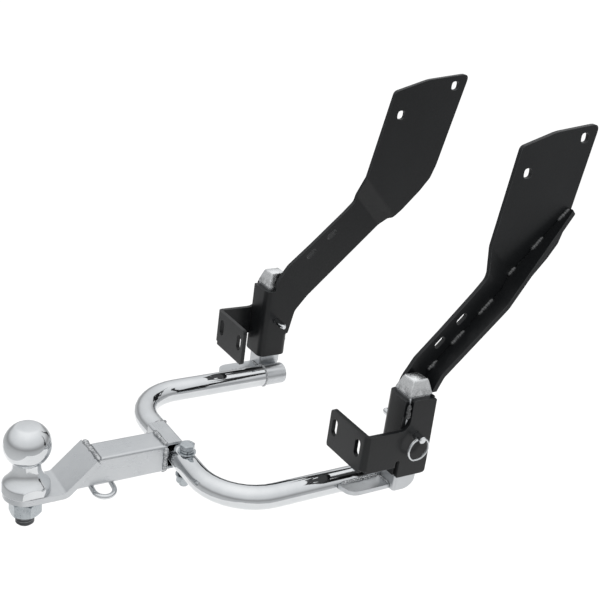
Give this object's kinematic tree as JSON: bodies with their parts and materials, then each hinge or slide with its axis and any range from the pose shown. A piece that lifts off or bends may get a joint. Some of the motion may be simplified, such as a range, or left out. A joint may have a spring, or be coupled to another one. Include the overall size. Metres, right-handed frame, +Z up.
{
  "type": "detachable motorcycle trailer hitch",
  "caption": "Detachable motorcycle trailer hitch: a chrome U-tube frame with a tow ball on a bent drawbar, pinned by its posts into black side brackets.",
  "frame": {"origin": "on the mid-plane between the side brackets, midway between the upper bolt holes of their wing plates, where the motorcycle holds the hitch", "axes": "+Y points forward, from the ball towards the motorcycle; +X is right; +Z is up"},
  "size_m": [0.344, 0.5953, 0.4284],
  "materials": {
    "chromed_steel": "polished chrome",
    "satin_steel": "satin, brushed",
    "zinc_steel": "zinc plated",
    "black_powder_coat": "satin powder coat",
    "bright_steel": "bright plated"
  },
  "bodies": {
    "hitch_frame": {"hitch_ball": "chromed_steel", "ball_lock_washer": "zinc_steel", "ball_nut": "zinc_steel", "drawbar_plate": "satin_steel", "stub_tube": "satin_steel", "chain_loop": "chromed_steel", "saddle": "satin_steel", "u_tube": "chromed_steel", "frame_bolt": "zinc_steel", "frame_bolt_lock_washer": "zinc_steel", "frame_bolt_washer_upper": "zinc_steel", "frame_bolt_washer_lower": "zinc_steel", "frame_bolt_nut": "zinc_steel", "arm_end_right": "satin_steel", "arm_end_left": "satin_steel", "gusset_right": "satin_steel", "gusset_left": "satin_steel", "post_right": "satin_steel", "post_left": "satin_steel", "post_cap_right": "satin_steel", "post_cap_left": "satin_steel", "bracket_right": "black_powder_coat", "bracket_left": "black_powder_coat", "socket_plate_right": "black_powder_coat", "socket_plate_left": "black_powder_coat", "rib_right": "black_powder_coat", "rib_left": "black_powder_coat", "anti_rattle_screw_right": "zinc_steel", "anti_rattle_screw_left": "zinc_steel"},
    "pin_right": {"hitch_pin_right": "bright_steel"},
    "pin_left": {"hitch_pin_left": "bright_steel"},
    "ring_right": {"pull_ring_right": "bright_steel"},
    "ring_left": {"pull_ring_left": "bright_steel"}
  },
  "joints": [
    {"name": "pin_right_pull", "type": "slide", "parent": "hitch_frame", "child": "pin_right", "axis": [1, 0, 0], "range_m": [0, 0.07]},
    {"name": "ring_right_swing", "type": "hinge", "parent": "pin_right", "child": "ring_right", "pos_m": [0.1668, -0.1634, -0.27625], "axis": [0, -1, 0], "range_deg": [0, 110]},
    {"name": "pin_left_pull", "type": "slide", "parent": "hitch_frame", "child": "pin_left", "axis": [-1, 0, 0], "range_m": [0, 0.07]},
    {"name": "ring_left_swing", "type": "hinge", "parent": "pin_left", "child": "ring_left", "pos_m": [-0.1668, -0.1634, -0.27625], "axis": [0, 1, 0], "range_deg": [0, 110]}
  ]
}
